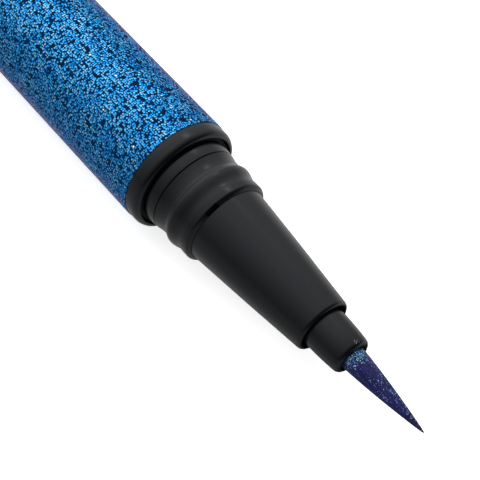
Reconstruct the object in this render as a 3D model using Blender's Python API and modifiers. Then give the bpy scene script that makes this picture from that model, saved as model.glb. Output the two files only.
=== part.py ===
"""Glitter eyeliner pen with a brush tip, lying on its side with its cap off.

Metres, +Z up. The pen lies along X with its brush towards +X, and the cap lies in line
ahead of the brush. Every turned piece is drawn upright, its height measured from the tail
of the pen or from the mouth of the cap, and is laid down by the empty that carries it.
Radii are built up from the brush outwards, and lengths from the tail to the brush tip.
"""
import math

import bmesh
import bpy
from mathutils import Vector

# Clearances
fit_gap = 0.00005
seat_gap = 0.0001
running_gap = 0.0001
cut_overrun = 0.0005
merge_distance = 0.0000005

# Lengths along the pen, as seen from outside
tail_head_length = 0.0022
sleeve_length = 0.0905
collar_length = 0.00145
neck_length = 0.0054
cone_length = 0.01192
ferrule_show = 0.0036
brush_show = 0.00783
cap_gap = 0.012

# Brush
brush_radius = 0.00114
strand_sectors = 5
strand_cuts = 7
strand_gap = 0.00002
strand_middle_share = 0.435
strand_middle_radius_share = 0.69
strand_near_share = 0.93
strand_near_radius_share = 0.14
strand_end_radius_share = 0.3
strand_stagger_share = 0.6
slice_depth = 0.0005
root_flange_step = 0.0005
root_flange_height = 0.0006

# Ferrule
ferrule_front_wall = 0.00051
ferrule_flare = 0.000225
ferrule_bulge = 0.00005
ferrule_round_share = 0.8
ferrule_mouth_share = 0.15
ferrule_mouth_depth = 0.0006
ferrule_flange_step = 0.00033
ferrule_flange_height = 0.0014

# Cone
recess_gap = 0.000315
recess_depth = 0.0008
lip_wall = 0.00024
lip_round_share = 0.75
cone_flare = 0.00114
cone_bulge = 0.00002
nose_length = 0.0052

# Beads and neck
front_bead_step = 0.00039
front_bead_round_share = 0.85
front_bead_share = 0.167
waist_drop = 0.00002
back_bead_rise = 0.00022
back_bead_place_share = 0.57
back_bead_front_share = 0.2
back_bead_back_share = 0.14
flank_shares = (1.0, 0.6, 0.3, 0.0, -0.4, -1.0)
neck_drop = 0.00022
neck_flare_length = 0.00065
neck_flare_share = 0.25
line_depth = 0.00007
line_width = 0.00009
band_step = 0.00015
band_flare = 0.00013
band_length = 0.00115
vent_width = 0.0013
vent_length = 0.0003
vent_depth = 0.0003
vent_turn_deg = 21.0

# Ring in the collar's mouth, flange behind it and spigot
ring_step = 0.00016
ring_wall = 0.00035
ring_proud = 0.00004
front_flange_height = 0.0005
spigot_length = 0.0085
feed_bore_step = 0.00055
retainer_show = 0.00025

# Barrel and glitter sleeve
collar_mouth_gap = 0.00024
collar_mouth_depth = 0.0011
collar_wall = 0.00045
collar_round = 0.0004
collar_inset = 0.00006
sleeve_wall = 0.00022
barrel_wall = 0.00055

# Retainer, feed rod and feed comb
retainer_length = 0.0034
retainer_gap = 0.0004
rod_radius = 0.0008
rod_overhang = 0.0025
comb_core_wall = 0.0012
comb_stem_gap = 0.0008
fin_count = 14
fin_height = 0.0005
fin_pitch = 0.00125
fin_vent_gap = 0.0003
comb_slot_width = 0.0004
comb_slot_depth = 0.0005
comb_flange_height = 0.0012
comb_spigot_length = 0.0034

# Ink tank and ball
tank_wall = 0.0004
tank_base = 0.0008
ball_radius = 0.0016
ball_end_gap = 0.0003

# Seal rings
seal_section = 0.0004
cap_seal_section = 0.00025

# Tail plug
tail_head_round = 0.0007
tail_spigot_length = 0.007
plug_wall = 0.001

# Cap
cap_lip_length = 0.0009
cap_mouth_round = 0.0001
cap_clearance = 0.00006
rib_place = 0.0019
rib_half = 0.0003
liner_back_gap = 0.0003
liner_wall = 0.0005
liner_clearance = 0.00025
liner_skirt_length = 0.0088
chamber_step = 0.00057
liner_seal_place = 0.0024
tip_room = 0.0022
liner_end_wall = 0.0008
cap_spigot_length = 0.006
cap_head_length = 0.0022

# Facets round a turned piece
outer_steps = 32
inner_steps = 24
small_steps = 16
ring_sides = 6
arc_count = 4
sharp_angle_deg = 35.0

# Radii, from the brush outwards
ferrule_bore = brush_radius + fit_gap
ferrule_front_radius = ferrule_bore + ferrule_front_wall
ferrule_back_radius = ferrule_front_radius + ferrule_flare
nose_bore = ferrule_back_radius + fit_gap
recess_radius = nose_bore + recess_gap
cone_front_radius = recess_radius + lip_wall
cone_back_radius = cone_front_radius + cone_flare
front_bead_radius = cone_back_radius + front_bead_step
waist_radius = front_bead_radius - waist_drop
back_bead_radius = front_bead_radius + back_bead_rise
neck_radius = back_bead_radius - neck_drop
band_front_radius = neck_radius + band_step
band_back_radius = band_front_radius + band_flare
ring_radius = band_back_radius + ring_step
ring_bore = ring_radius - ring_wall
ring_seat_radius = ring_bore - fit_gap
collar_mouth = ring_radius + collar_mouth_gap
collar_radius = collar_mouth + collar_wall
sleeve_radius = collar_radius + collar_inset
sleeve_bore = sleeve_radius - sleeve_wall
barrel_radius = sleeve_bore - fit_gap
barrel_bore = barrel_radius - barrel_wall
spigot_radius = barrel_bore - fit_gap
ferrule_flange_radius = ferrule_back_radius + ferrule_flange_step
retainer_bore_radius = ferrule_flange_radius + fit_gap
feed_bore_radius = retainer_bore_radius + feed_bore_step
rod_bore = rod_radius + running_gap
comb_core_radius = rod_bore + comb_core_wall
fin_radius = barrel_bore - fin_vent_gap
tank_bore = spigot_radius - tank_wall
comb_spigot_radius = tank_bore - fit_gap
cap_bore = band_back_radius + cap_clearance
cap_spigot_radius = cap_bore - fit_gap

# Heights above the tail of the pen
sleeve_back = tail_head_length + seat_gap
sleeve_front = sleeve_back + sleeve_length
collar_front = sleeve_front + collar_length
cone_back = collar_front + neck_length
cone_front = cone_back + cone_length
ferrule_front = cone_front + ferrule_show
brush_tip = ferrule_front + brush_show
ring_front = collar_front + ring_proud
mouth_floor = collar_front - collar_mouth_depth
spigot_back = mouth_floor - spigot_length
front_seal_height = spigot_back + spigot_length / 3
nose_back = cone_front - nose_length
ferrule_back = nose_back - seat_gap - ferrule_flange_height
root_front = ferrule_back - seat_gap
root_back = root_front - root_flange_height
retainer_front = root_back - seat_gap
retainer_back = retainer_front - retainer_length
comb_front = retainer_back - seat_gap
fin_front = spigot_back - comb_stem_gap
fin_back = fin_front - fin_count * fin_pitch
comb_flange_back = fin_back - comb_flange_height
comb_back = comb_flange_back - comb_spigot_length
feed_seal_height = comb_back + comb_spigot_length / 2
rod_back = comb_back - rod_overhang
tail_spigot_front = tail_head_length + tail_spigot_length
tail_seal_height = tail_head_length + tail_spigot_length / 2
tank_back = tail_spigot_front + seat_gap

# Heights above the mouth of the cap, with the cap pushed on where the pen sets them
cap_seat = collar_front + seat_gap
liner_back = cone_back - cap_seat + liner_back_gap
liner_skirt_front = liner_back + liner_skirt_length
liner_seal_height = liner_back + liner_seal_place
liner_front = brush_tip - cap_seat + tip_room + liner_end_wall
cap_plug_back = liner_front + seat_gap
cap_tube_front = cap_plug_back + cap_spigot_length - seat_gap
cap_length = cap_tube_front + seat_gap + cap_head_length

# Places in the row's own frame
total_length = brush_tip + cap_gap + cap_length
axis_height = sleeve_radius * math.cos(math.pi / outer_steps)
tail_x = -total_length / 2
cap_mouth_x = tail_x + brush_tip + cap_gap
ball_start = tank_back + tank_base + ball_end_gap + ball_radius
ball_drop = tank_bore * math.cos(math.pi / inner_steps) - ball_radius - running_gap


def clear_scene():
    for obj in list(bpy.data.objects):
        bpy.data.objects.remove(obj, do_unlink=True)


def make_collection(name):
    collection = bpy.data.collections.new(name)
    bpy.context.scene.collection.children.link(collection)
    return collection


def make_material(name, color, roughness, metallic=0.0):
    material = bpy.data.materials.new(name)
    material.use_nodes = True
    shader = material.node_tree.nodes["Principled BSDF"]
    shader.inputs["Base Color"].default_value = (*color, 1.0)
    shader.inputs["Roughness"].default_value = roughness
    shader.inputs["Metallic"].default_value = metallic
    return material


def lay_down(name, start_x):
    """Empty that lays upright pieces on their side, so that their height runs along +X."""
    empty = bpy.data.objects.new(name, None)
    empty.empty_display_size = sleeve_radius
    empty.location = (start_x, 0.0, axis_height)
    empty.rotation_euler = (0.0, math.pi / 2, 0.0)
    pieces.objects.link(empty)
    return empty


def add_piece(name, mesh, material, carrier, steps):
    """Object on a carrier, turned by half a facet so that a flat of it faces down."""
    obj = bpy.data.objects.new(name, mesh)
    pieces.objects.link(obj)
    obj.parent = carrier
    obj.rotation_euler = (0.0, 0.0, math.pi / steps)
    mesh.materials.append(material)
    return obj


def turned(name, outline, material, carrier, steps=outer_steps, closed=True):
    """Turned piece. The outline lists (radius, height), down the outer side first."""
    mesh = bpy.data.meshes.new(name)
    count = len(outline)
    edges = [(i, i + 1) for i in range(count - 1)]
    if closed:
        edges.append((count - 1, 0))
    mesh.from_pydata([(radius, 0.0, height) for radius, height in outline], edges, [])
    obj = add_piece(name, mesh, material, carrier, steps)
    screw = obj.modifiers.new("Turn", 'SCREW')
    screw.axis = 'Z'
    screw.angle = 2 * math.pi
    screw.steps = steps
    screw.render_steps = steps
    screw.use_merge_vertices = True
    screw.merge_threshold = merge_distance
    return obj


def round_edge(outer_radius, top, size, count=arc_count):
    """Rounded top outer edge of a turned piece, listed downwards."""
    points = []
    for i in range(count):
        angle = math.pi / 2 * (1 - i / (count - 1))
        points.append((outer_radius - size + size * math.cos(angle),
                       top - size + size * math.sin(angle)))
    return points


def flip(outline, length):
    """The same outline with its two ends swapped, still listed downwards."""
    return [(radius, length - height) for radius, height in reversed(outline)]


def seal_groove(radius, middle, section=seal_section):
    """Groove for a seal ring in a spigot of the given radius, listed downwards."""
    floor = radius - 2 * section - fit_gap
    half = section + fit_gap
    return [(radius, middle + half), (floor, middle + half),
            (floor, middle - half), (radius, middle - half)]


def seal_ring(name, outer_radius, middle, carrier, section=seal_section):
    """Rubber ring of round section, laid on the carrier's axis."""
    bpy.ops.mesh.primitive_torus_add(
        major_segments=inner_steps, minor_segments=ring_sides,
        major_radius=outer_radius - section, minor_radius=section)
    obj = bpy.context.active_object
    for owner in list(obj.users_collection):
        owner.objects.unlink(obj)
    pieces.objects.link(obj)
    obj.name = name
    obj.data.name = name
    obj.data.materials.append(rubber)
    obj.parent = carrier
    obj.location = (0.0, 0.0, middle)
    obj.rotation_euler = (0.0, 0.0, math.pi / inner_steps)
    return obj


def cut_box(obj, name, size, radius, turn, height, carrier):
    """Cut a box out of a piece, its middle at a radius, a turn from above and a height."""
    mesh = bpy.data.meshes.new(name)
    bm = bmesh.new()
    bmesh.ops.create_cube(bm, size=1.0)
    bmesh.ops.scale(bm, vec=Vector(size), verts=bm.verts)
    bm.to_mesh(mesh)
    bm.free()
    cutter = bpy.data.objects.new(name, mesh)
    cutters.objects.link(cutter)
    cutter.parent = carrier
    cutter.location = (-radius * math.cos(turn), -radius * math.sin(turn), height)
    cutter.rotation_euler = (0.0, 0.0, turn)
    cutter.hide_render = True
    cutter.display_type = 'WIRE'
    boolean = obj.modifiers.new(name, 'BOOLEAN')
    boolean.operation = 'DIFFERENCE'
    boolean.solver = 'EXACT'
    boolean.object = cutter


def make_barrel():
    """Black moulded tube. Its collar stops the glitter sleeve and takes the neck."""
    outline = round_edge(collar_radius, collar_front, collar_round)
    outline += [(collar_radius, sleeve_front + fit_gap),
                (barrel_radius, sleeve_front + fit_gap),
                (barrel_radius, sleeve_back),
                (barrel_bore, sleeve_back),
                (barrel_bore, mouth_floor),
                (collar_mouth, mouth_floor),
                (collar_mouth, collar_front)]
    return turned("barrel", outline, black_plastic, pen)


def make_glitter_sleeve():
    """Decorated tube that slides on from the tail and stops at the collar."""
    outline = [(sleeve_radius, sleeve_front), (sleeve_radius, sleeve_back),
               (sleeve_bore, sleeve_back), (sleeve_bore, sleeve_front)]
    return turned("glitter_sleeve", outline, glitter, pen)


def cone_outline():
    """Rounded lip and long cone, down to its foot."""
    middle_radius = (cone_front_radius + cone_back_radius) / 2 + cone_bulge
    points = round_edge(cone_front_radius, cone_front, lip_wall * lip_round_share)
    points += [(middle_radius, (cone_front + cone_back) / 2), (cone_back_radius, cone_back)]
    return points


def bead_outline():
    """Two snap beads with a shallow waist between them. The back one is steeper behind."""
    crest = collar_front + neck_length * back_bead_place_share
    points = round_edge(front_bead_radius, cone_back, front_bead_step * front_bead_round_share)
    points += [(front_bead_radius, cone_back - neck_length * front_bead_share)]
    for flank_share in flank_shares:
        base, half_share = neck_radius, back_bead_back_share
        if flank_share > 0:
            base, half_share = waist_radius, back_bead_front_share
        rise = (back_bead_radius - base) * math.cos(flank_share * math.pi / 2)
        points.append((base + rise, crest + flank_share * half_share * neck_length))
    return points


def band_outline():
    """Flare under the neck, shadow line, and the band that meets the ring."""
    line = collar_front + band_length
    flare_top = line + neck_flare_length
    band_foot = ring_front + line_width
    return [(neck_radius, flare_top),
            (neck_radius + band_step * neck_flare_share, (line + flare_top) / 2),
            (band_front_radius, line + line_width),
            (band_front_radius - line_depth, line),
            (band_front_radius, line - line_width),
            (band_back_radius, band_foot),
            (ring_seat_radius, band_foot)]


def make_front_section():
    """Neck, two snap beads and cone in one moulding, with its flange and spigot."""
    flange_back = mouth_floor + seat_gap
    flange_front = flange_back + front_flange_height
    flange_radius = collar_mouth - running_gap
    feed_bore_end = retainer_back + retainer_show
    outline = cone_outline() + bead_outline() + band_outline()
    outline += [(ring_seat_radius, flange_front), (flange_radius, flange_front),
                (flange_radius, flange_back), (spigot_radius, flange_back)]
    outline += seal_groove(spigot_radius, front_seal_height)
    outline += [(spigot_radius, spigot_back), (feed_bore_radius, spigot_back),
                (feed_bore_radius, feed_bore_end),
                (retainer_bore_radius, feed_bore_end),
                (retainer_bore_radius, nose_back), (nose_bore, nose_back),
                (nose_bore, cone_front - recess_depth),
                (recess_radius, cone_front - recess_depth / 2),
                (recess_radius, cone_front)]
    section = turned("front_section", outline, black_plastic, pen)
    notch_size = (2 * cut_overrun, vent_width, 2 * vent_length)
    notch_radius = front_bead_radius - vent_depth + cut_overrun
    cut_box(section, "vent_notch", notch_size, notch_radius,
            math.radians(vent_turn_deg), cone_back, pen)
    return section


def make_neck_ring():
    """Elastic ring that snaps in behind the band and closes the collar's mouth."""
    bottom = mouth_floor + seat_gap + front_flange_height + fit_gap
    outline = [(ring_radius - fit_gap, ring_front), (ring_radius, ring_front - fit_gap),
               (ring_radius, bottom), (ring_bore, bottom), (ring_bore, ring_front)]
    return turned("neck_ring", outline, rubber, pen)


def make_ferrule():
    """Brush holder with a rounded lip. Its flange stops behind the cone's nose."""
    flange_front = nose_back - seat_gap
    middle_radius = (ferrule_front_radius + ferrule_back_radius) / 2 + ferrule_bulge
    mouth_radius = ferrule_bore + ferrule_front_wall * ferrule_mouth_share
    lip = ferrule_front_wall * ferrule_round_share
    outline = round_edge(ferrule_front_radius, ferrule_front, lip)
    outline += [(middle_radius, (ferrule_front + cone_front) / 2),
                (ferrule_back_radius, cone_front),
                (ferrule_back_radius, flange_front),
                (ferrule_flange_radius, flange_front),
                (ferrule_flange_radius, ferrule_back),
                (ferrule_bore, ferrule_back),
                (ferrule_bore, ferrule_front - ferrule_mouth_depth),
                (mouth_radius, ferrule_front)]
    return turned("ferrule", outline, black_plastic, pen, inner_steps)


def strand_plan(bm):
    """Round patch of small triangles, one for each strand, made from a fan of sectors."""
    sector = 2 * math.pi / strand_sectors
    bmesh.ops.create_circle(bm, cap_ends=True, cap_tris=True, radius=brush_radius,
                            segments=strand_sectors)
    first = max(bm.verts, key=lambda v: v.co.length).co
    first_angle = math.atan2(first.y, first.x)
    bmesh.ops.subdivide_edges(bm, edges=bm.edges[:], cuts=strand_cuts, use_grid_fill=True)
    for vert in bm.verts:
        if vert.co.length < merge_distance:
            continue
        angle = math.atan2(vert.co.y, vert.co.x) - first_angle
        whole = math.floor(angle / sector + merge_distance / brush_radius)
        inside = angle - (whole + 0.5) * sector
        height = vert.co.length * math.cos(inside)
        radius = height / math.cos(sector / 2)
        along = math.tan(inside) / math.tan(sector / 2)
        turn = first_angle + (whole + 0.5 + along / 2) * sector
        vert.co.x = radius * math.cos(turn)
        vert.co.y = radius * math.sin(turn)


def add_root(bm, slice_front):
    """Closed root behind the strands: a round slug in the ferrule, and its flange."""
    rim = [edge for edge in bm.edges if edge.is_boundary]
    flange_radius = brush_radius + root_flange_step
    stations = ((brush_radius, slice_front - slice_depth), (brush_radius, root_front),
                (flange_radius, root_front), (flange_radius, root_back))
    for radius, height in stations:
        grown = bmesh.ops.extrude_edge_only(bm, edges=rim)["geom"]
        rim = [item for item in grown
               if isinstance(item, bmesh.types.BMEdge) and item.is_boundary]
        for vert in {vert for edge in rim for vert in edge.verts}:
            flat = vert.co.to_2d().normalized() * radius
            vert.co = Vector((flat.x, flat.y, height))
    bmesh.ops.contextual_create(bm, geom=rim)


def draw_strands(bm, faces, slice_front):
    """Pull each triangle out into a strand. All draw in alike, so none cross."""
    length = brush_tip - slice_front
    before = 1.0
    for height_share, radius_share in ((strand_middle_share, strand_middle_radius_share),
                                       (strand_near_share, strand_near_radius_share)):
        faces = bmesh.ops.extrude_discrete_faces(bm, faces=faces)["faces"]
        scale = radius_share / before
        for vert in {vert for face in faces for vert in face.verts}:
            vert.co = Vector((vert.co.x * scale, vert.co.y * scale,
                              slice_front + length * height_share))
        before = radius_share
    last_length = length * (1 - strand_near_share)
    for face in faces:
        centre = face.calc_center_median().to_2d()
        out_share = centre.length / (brush_radius * strand_near_radius_share)
        reach_share = 1 - strand_stagger_share * out_share
        end = centre * (1 - reach_share * (1 - strand_end_radius_share))
        point = bmesh.ops.poke(bm, faces=[face])["verts"][0]
        point.co = Vector((end.x, end.y, brush_tip - last_length * (1 - reach_share)))


def make_brush():
    """Tuft of tapering three-sided strands, fused to the slice that roots them."""
    bm = bmesh.new()
    strand_plan(bm)
    slice_front = ferrule_front - slice_depth
    bmesh.ops.translate(bm, vec=Vector((0.0, 0.0, slice_front)), verts=bm.verts)
    plan = bm.faces[:]
    add_root(bm, slice_front)
    bmesh.ops.inset_individual(bm, faces=plan, thickness=strand_gap / 2,
                               use_even_offset=True)
    draw_strands(bm, plan, slice_front)
    bmesh.ops.recalc_face_normals(bm, faces=bm.faces)
    mesh = bpy.data.meshes.new("brush")
    bm.to_mesh(mesh)
    bm.free()
    return add_piece("brush", mesh, brush_fibre, pen, small_steps)


def make_brush_retainer():
    """Tube that holds the brush root and the ferrule's flange against the nose."""
    radius = retainer_bore_radius - fit_gap
    bore = rod_radius + retainer_gap
    outline = [(radius, retainer_front), (radius, retainer_back),
               (bore, retainer_back), (bore, retainer_front)]
    return turned("brush_retainer", outline, white_plastic, pen, inner_steps)


def make_feed_rod():
    """Fibre rod that carries the ink from the tank to the brush root."""
    front = root_back - seat_gap
    outline = [(0.0, front), (rod_radius, front), (rod_radius, rod_back), (0.0, rod_back)]
    return turned("feed_rod", outline, wick_fibre, pen, small_steps, closed=False)


def make_feed_comb():
    """Ink regulator: a stem in the neck, a stack of fins, and a spigot in the tank."""
    stem_radius = feed_bore_radius - fit_gap
    outline = [(stem_radius, comb_front), (stem_radius, fin_front + fin_height),
               (comb_core_radius, fin_front + fin_height)]
    for i in range(fin_count):
        top = fin_front - i * fin_pitch
        outline += [(comb_core_radius, top), (fin_radius, top),
                    (fin_radius, top - fin_height), (comb_core_radius, top - fin_height)]
    outline += [(comb_core_radius, fin_back), (spigot_radius, fin_back),
                (spigot_radius, comb_flange_back),
                (comb_spigot_radius, comb_flange_back)]
    outline += seal_groove(comb_spigot_radius, feed_seal_height)
    outline += [(comb_spigot_radius, comb_back), (rod_bore, comb_back),
                (rod_bore, comb_front)]
    comb = turned("feed_comb", outline, white_plastic, pen, small_steps)
    depth = fin_radius - comb_core_radius + comb_slot_depth + cut_overrun
    size = (depth, comb_slot_width, fin_count * fin_pitch + fin_height)
    middle = comb_core_radius - comb_slot_depth + depth / 2
    cut_box(comb, "ink_slot", size, middle, 0.0, (fin_front + fin_back) / 2, pen)
    return comb


def make_ink_tank():
    """Inner cup that holds the liquid, its mouth on the feed comb's spigot."""
    front = comb_flange_back - seat_gap
    outline = [(0.0, tank_back + tank_base), (tank_bore, tank_back + tank_base),
               (tank_bore, front), (spigot_radius, front), (spigot_radius, tank_back),
               (0.0, tank_back)]
    return turned("ink_tank", outline, clear_plastic, pen, inner_steps, closed=False)


def make_agitator_ball():
    """Steel ball that lies in the tank and stirs the glitter when the pen is shaken."""
    bpy.ops.mesh.primitive_uv_sphere_add(segments=small_steps, ring_count=small_steps // 2,
                                         radius=ball_radius)
    obj = bpy.context.active_object
    for owner in list(obj.users_collection):
        owner.objects.unlink(obj)
    pieces.objects.link(obj)
    obj.name = "agitator_ball"
    obj.data.name = "agitator_ball"
    obj.data.materials.append(steel)
    obj.parent = pen
    obj.location = (ball_drop, 0.0, ball_start)
    return obj


def make_tail_plug():
    """Rounded black plug with a hollow spigot that closes the barrel's tail."""
    head = round_edge(collar_radius, tail_head_length, tail_head_round)
    head = flip(head, tail_head_length)
    bore = spigot_radius - 2 * seal_section - fit_gap - plug_wall
    outline = [(bore, tail_head_length), (bore, tail_spigot_front),
               (spigot_radius, tail_spigot_front)]
    outline += seal_groove(spigot_radius, tail_seal_height)
    outline += [(spigot_radius, tail_head_length), (collar_radius, tail_head_length)]
    outline = [(0.0, tail_head_length)] + outline + head + [(0.0, 0.0)]
    return turned("tail_plug", outline, black_plastic, pen, closed=False)


def make_cap_shell():
    """Black cap tube with a plain lip and an inner rib that snaps behind the bead."""
    mouth = [(collar_radius, cap_lip_length), (collar_radius, cap_mouth_round),
             (collar_radius - cap_mouth_round, 0.0), (cap_bore + cap_mouth_round, 0.0),
             (cap_bore, cap_mouth_round)]
    rib_radius = back_bead_radius + fit_gap
    outline = [(cap_bore, cap_tube_front), (barrel_radius, cap_tube_front),
               (barrel_radius, cap_lip_length)]
    outline += mouth
    outline += [(cap_bore, rib_place - rib_half), (rib_radius, rib_place),
                (cap_bore, rib_place + rib_half)]
    return turned("cap_shell", outline, black_plastic, cap)


def make_cap_sleeve():
    """Decorated tube round the cap, from its lip to its end plug."""
    back = cap_lip_length + fit_gap
    outline = [(sleeve_radius, cap_tube_front), (sleeve_radius, back),
               (sleeve_bore, back), (sleeve_bore, cap_tube_front)]
    return turned("cap_sleeve", outline, glitter, cap)


def cone_radius_in_cap(height):
    """Radius of the pushed-in cone at a height above the cap's mouth."""
    along = (height - (cone_back - cap_seat)) / cone_length
    return cone_back_radius - cone_flare * along


def make_cap_liner():
    """Inner cap: a skirt that follows the cone, then a closed chamber for the brush."""
    chamber_radius = cone_front_radius + chamber_step
    chamber_along = (cone_back_radius + liner_clearance - chamber_radius) / cone_flare
    chamber_back = cone_back - cap_seat + cone_length * chamber_along
    wall_radius = chamber_radius + liner_wall
    groove_radius = cone_radius_in_cap(liner_seal_height) + 2 * (fit_gap + cap_seal_section)
    half = cap_seal_section + fit_gap
    low = liner_seal_height - half
    high = liner_seal_height + half
    outline = [(0.0, liner_front)]
    outline += round_edge(wall_radius, liner_front, liner_end_wall)
    outline += [(wall_radius, liner_skirt_front),
                (cap_spigot_radius, liner_skirt_front - liner_wall),
                (cap_spigot_radius, liner_back),
                (cone_back_radius + liner_clearance, liner_back),
                (cone_radius_in_cap(low) + liner_clearance, low), (groove_radius, low),
                (groove_radius, high), (cone_radius_in_cap(high) + liner_clearance, high),
                (chamber_radius, chamber_back),
                (chamber_radius, liner_front - liner_end_wall),
                (0.0, liner_front - liner_end_wall)]
    return turned("cap_liner", outline, white_plastic, cap, inner_steps, closed=False)


def make_cap_seal_ring():
    """Seal ring in the liner's groove that closes on the cone."""
    outer = cone_radius_in_cap(liner_seal_height) + fit_gap + 2 * cap_seal_section
    return seal_ring("cap_seal_ring", outer, liner_seal_height, cap, cap_seal_section)


def make_cap_end_plug():
    """Rounded black plug that closes the cap and backs the liner's end."""
    head_back = cap_tube_front + seat_gap
    wall_radius = cone_front_radius + chamber_step + liner_wall
    bore = wall_radius - liner_end_wall - fit_gap
    outline = [(0.0, cap_length)]
    outline += round_edge(collar_radius, cap_length, tail_head_round)
    outline += [(collar_radius, head_back), (cap_spigot_radius, head_back),
                (cap_spigot_radius, cap_plug_back), (bore, cap_plug_back),
                (bore, head_back), (0.0, head_back)]
    return turned("cap_end_plug", outline, black_plastic, cap, closed=False)


def finish_pieces():
    """Apply each piece's modifiers, then shade it smooth up to its sharp corners."""
    depsgraph = bpy.context.evaluated_depsgraph_get()
    done = {}
    for obj in pieces.objects:
        if obj.type == 'MESH':
            done[obj] = bpy.data.meshes.new_from_object(obj.evaluated_get(depsgraph))
    for obj, mesh in done.items():
        obj.modifiers.clear()
        obj.data = mesh
        mesh.name = obj.name
        mesh.shade_smooth()
        mesh.set_sharp_from_angle(angle=math.radians(sharp_angle_deg))


clear_scene()
pieces = make_collection("glitter_eyeliner")
cutters = make_collection("cutters")
black_plastic = make_material("black_plastic", (0.012, 0.013, 0.015), 0.38)
glitter = make_material("glitter", (0.02, 0.16, 0.42), 0.3, 0.6)
rubber = make_material("rubber", (0.02, 0.02, 0.022), 0.7)
white_plastic = make_material("white_plastic", (0.8, 0.8, 0.78), 0.45)
clear_plastic = make_material("clear_plastic", (0.75, 0.8, 0.85), 0.2)
wick_fibre = make_material("wick_fibre", (0.7, 0.72, 0.78), 0.9)
brush_fibre = make_material("brush_fibre", (0.01, 0.02, 0.1), 0.25)
steel = make_material("steel", (0.6, 0.6, 0.62), 0.2, 1.0)
pen = lay_down("pen_axis", tail_x)
cap = lay_down("cap_axis", cap_mouth_x)
make_barrel()
make_glitter_sleeve()
make_front_section()
make_neck_ring()
make_ferrule()
make_brush()
make_brush_retainer()
make_feed_rod()
make_feed_comb()
make_ink_tank()
make_agitator_ball()
make_tail_plug()
seal_ring("front_seal_ring", spigot_radius, front_seal_height, pen)
seal_ring("feed_seal_ring", comb_spigot_radius, feed_seal_height, pen)
seal_ring("tail_seal_ring", spigot_radius, tail_seal_height, pen)
make_cap_shell()
make_cap_sleeve()
make_cap_liner()
make_cap_seal_ring()
make_cap_end_plug()
finish_pieces()
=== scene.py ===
import math
import random

import bmesh
import bpy
from mathutils import Matrix, Vector


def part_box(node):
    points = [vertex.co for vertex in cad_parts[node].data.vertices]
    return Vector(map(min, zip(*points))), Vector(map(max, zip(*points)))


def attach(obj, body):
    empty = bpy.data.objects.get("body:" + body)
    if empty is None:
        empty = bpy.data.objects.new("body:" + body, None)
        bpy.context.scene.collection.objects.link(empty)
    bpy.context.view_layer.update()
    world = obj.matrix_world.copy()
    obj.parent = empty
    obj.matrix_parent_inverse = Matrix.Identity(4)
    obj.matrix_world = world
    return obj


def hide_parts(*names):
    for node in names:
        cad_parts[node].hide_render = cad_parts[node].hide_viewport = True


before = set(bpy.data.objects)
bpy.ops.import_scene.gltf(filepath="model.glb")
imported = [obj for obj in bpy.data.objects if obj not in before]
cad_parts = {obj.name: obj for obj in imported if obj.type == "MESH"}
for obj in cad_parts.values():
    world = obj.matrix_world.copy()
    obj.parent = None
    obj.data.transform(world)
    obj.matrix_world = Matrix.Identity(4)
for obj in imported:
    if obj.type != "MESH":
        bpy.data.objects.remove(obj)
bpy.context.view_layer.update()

# Barrel.
# One black moulded tube. Its collar, left bare, stops the glitter sleeve and takes the neck.
# Like every other round piece it is turned about the pen's axis, which lies along X.
mm = 0.001
sharp = 0.0
turning_steps = 160
rounding_steps = 4
merge_distance = 0.0001 * mm
flat_angle = math.radians(50)
barrel_low, barrel_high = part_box("barrel")
sleeve_low, sleeve_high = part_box("glitter_sleeve")
axis_height = (sleeve_low.z + sleeve_high.z) / 2
collar_front = barrel_high.x
collar_back = sleeve_high.x + 0.01 * mm
collar_radius = (barrel_high.z - barrel_low.z) / 2
collar_front_round = 0.58 * mm
collar_back_round = 0.02 * mm
mouth_radius = 4.63 * mm
mouth_round = 0.06 * mm
mouth_floor = collar_front - 1.1 * mm
tube_radius = 4.96 * mm
tube_bore = 4.42 * mm
black = (0.004, 0.0046, 0.006, 1.0)
cool_gloss = (0.9, 0.95, 1.0, 1.0)
grain_size = 0.12 * mm
grain_depth = 0.05 * mm
grain_spread = 0.1
flow_scale = 0.35 / mm
flow_detail = 3.0
flow_roughness = 0.6


def placed(name, bm):
    """Put a bmesh in the scene as an object at the origin."""
    mesh = bpy.data.meshes.new(name)
    bm.to_mesh(mesh)
    bm.free()
    obj = bpy.data.objects.new(name, mesh)
    bpy.context.scene.collection.objects.link(obj)
    return obj


def turned(name, outline, steps=turning_steps):
    """Spin an outline of (place along X, radius, rounding) about the axis into a closed skin."""
    bm = bmesh.new()
    verts = [bm.verts.new((x, 0.0, axis_height + radius)) for x, radius, _ in outline]
    ends_on_axis = outline[0][1] == 0.0 and outline[-1][1] == 0.0
    for i in range(1 if ends_on_axis else 0, len(verts)):
        bm.edges.new((verts[i - 1], verts[i]))
    for vert, (_, _, rounding) in zip(verts, outline):
        if rounding:
            bmesh.ops.bevel(bm, geom=[vert], offset=rounding, offset_type='OFFSET',
                            segments=rounding_steps, profile=0.5, affect='VERTICES', material=-1)
    bmesh.ops.spin(bm, geom=bm.verts[:] + bm.edges[:], cent=(0.0, 0.0, axis_height),
                   axis=(1.0, 0.0, 0.0), angle=2 * math.pi, steps=steps, use_merge=True)
    bmesh.ops.remove_doubles(bm, verts=bm.verts, dist=merge_distance)
    bmesh.ops.dissolve_degenerate(bm, edges=bm.edges, dist=merge_distance)
    bmesh.ops.recalc_face_normals(bm, faces=bm.faces)
    return placed(name, bm)


def dress(obj, material, body, slot, *stands_for):
    """Shade a piece and give it its material, body and the nodes it replaces; slot is not used.
    """
    obj.data.shade_smooth()
    obj.data.set_sharp_from_angle(angle=flat_angle)
    weighted = obj.modifiers.new("flat_faces", 'WEIGHTED_NORMAL')
    weighted.keep_sharp = True
    obj.data.materials.append(material)
    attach(obj, body)
    if stands_for:
        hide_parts(*stands_for)


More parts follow.
